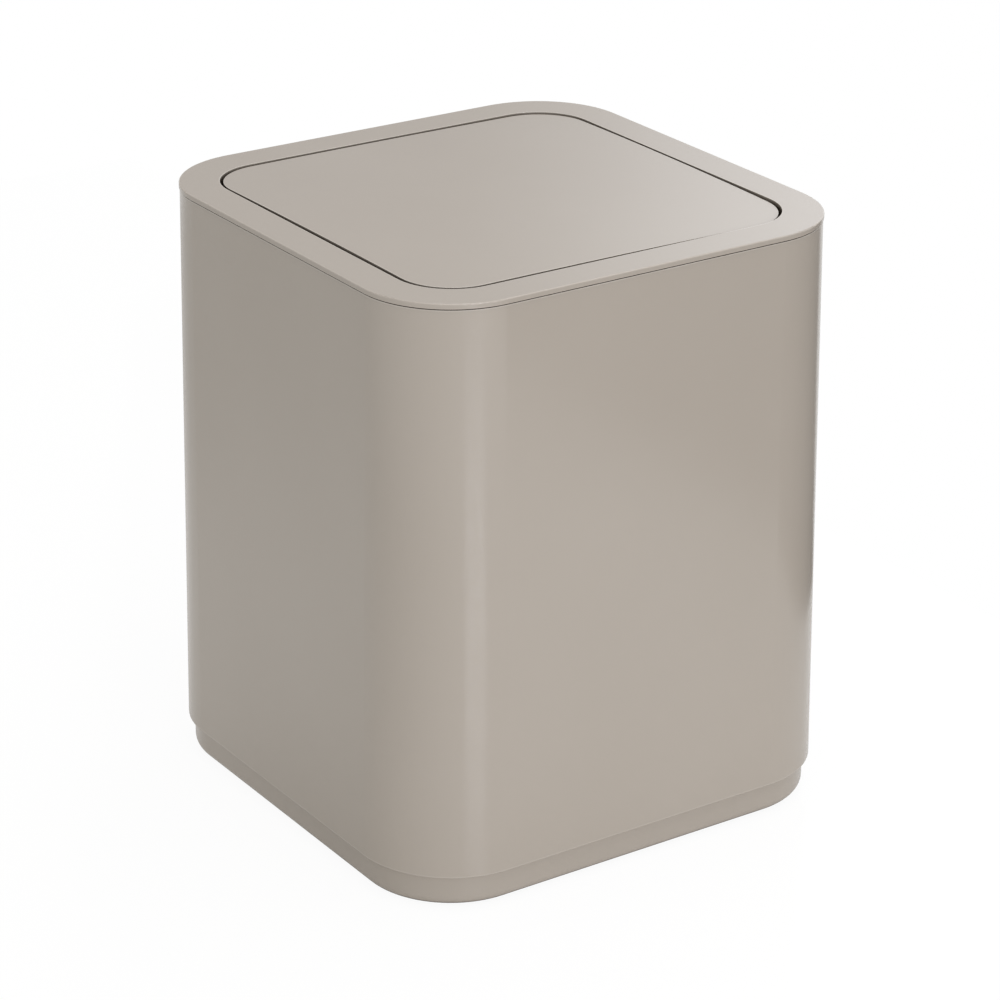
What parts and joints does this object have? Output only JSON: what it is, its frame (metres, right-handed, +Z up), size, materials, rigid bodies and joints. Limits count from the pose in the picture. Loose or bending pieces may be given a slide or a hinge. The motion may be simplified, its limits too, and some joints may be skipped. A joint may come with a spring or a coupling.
{
  "type": "swing-flap waste bin",
  "caption": "Small square waste bin with rounded corners, a flush lift-off lid, an inset self-closing swing flap and a recessed plinth.",
  "frame": {"origin": "on the ground under the middle of the bin", "axes": "+Z up, front face towards -Y, the flap's pivot line along X"},
  "size_m": [0.2058, 0.2058, 0.2444],
  "materials": {
    "gloss_shell": "satin-gloss taupe moulded plastic",
    "inner_plastic": "fine matt moulded plastic",
    "bearing_plastic": "natural bearing plastic",
    "steel": "zinc-plated steel",
    "dark_rubber": "matt rubber"
  },
  "bodies": {
    "root": {"body_sleeve": "gloss_shell", "base_tray": "gloss_shell", "base_screws": "steel", "foot_front_left": "dark_rubber", "foot_front_right": "dark_rubber", "foot_back_left": "dark_rubber", "foot_back_right": "dark_rubber"},
    "lid": {"lid_frame": "gloss_shell", "pivot_bush_left": "bearing_plastic", "pivot_bush_right": "bearing_plastic", "pivot_cap_left": "inner_plastic", "pivot_cap_right": "inner_plastic", "stop_buffer_left": "dark_rubber", "stop_buffer_right": "dark_rubber", "cap_screws": "steel"},
    "flap": {"flap_cover": "gloss_shell", "flap_underside": "inner_plastic", "counterweight": "steel", "flap_screws": "steel", "pivot_pin_left": "steel", "pivot_pin_right": "steel"}
  },
  "joints": [
    {"name": "lid_lift", "type": "slide", "parent": "root", "child": "lid", "axis": [0, 0, 1], "range_m": [0, 0.1]},
    {"name": "flap_swing", "type": "hinge", "parent": "lid", "child": "flap", "pos_m": [0, 0, 0.236], "axis": [1, 0, 0], "range_deg": [-80, 80]}
  ]
}
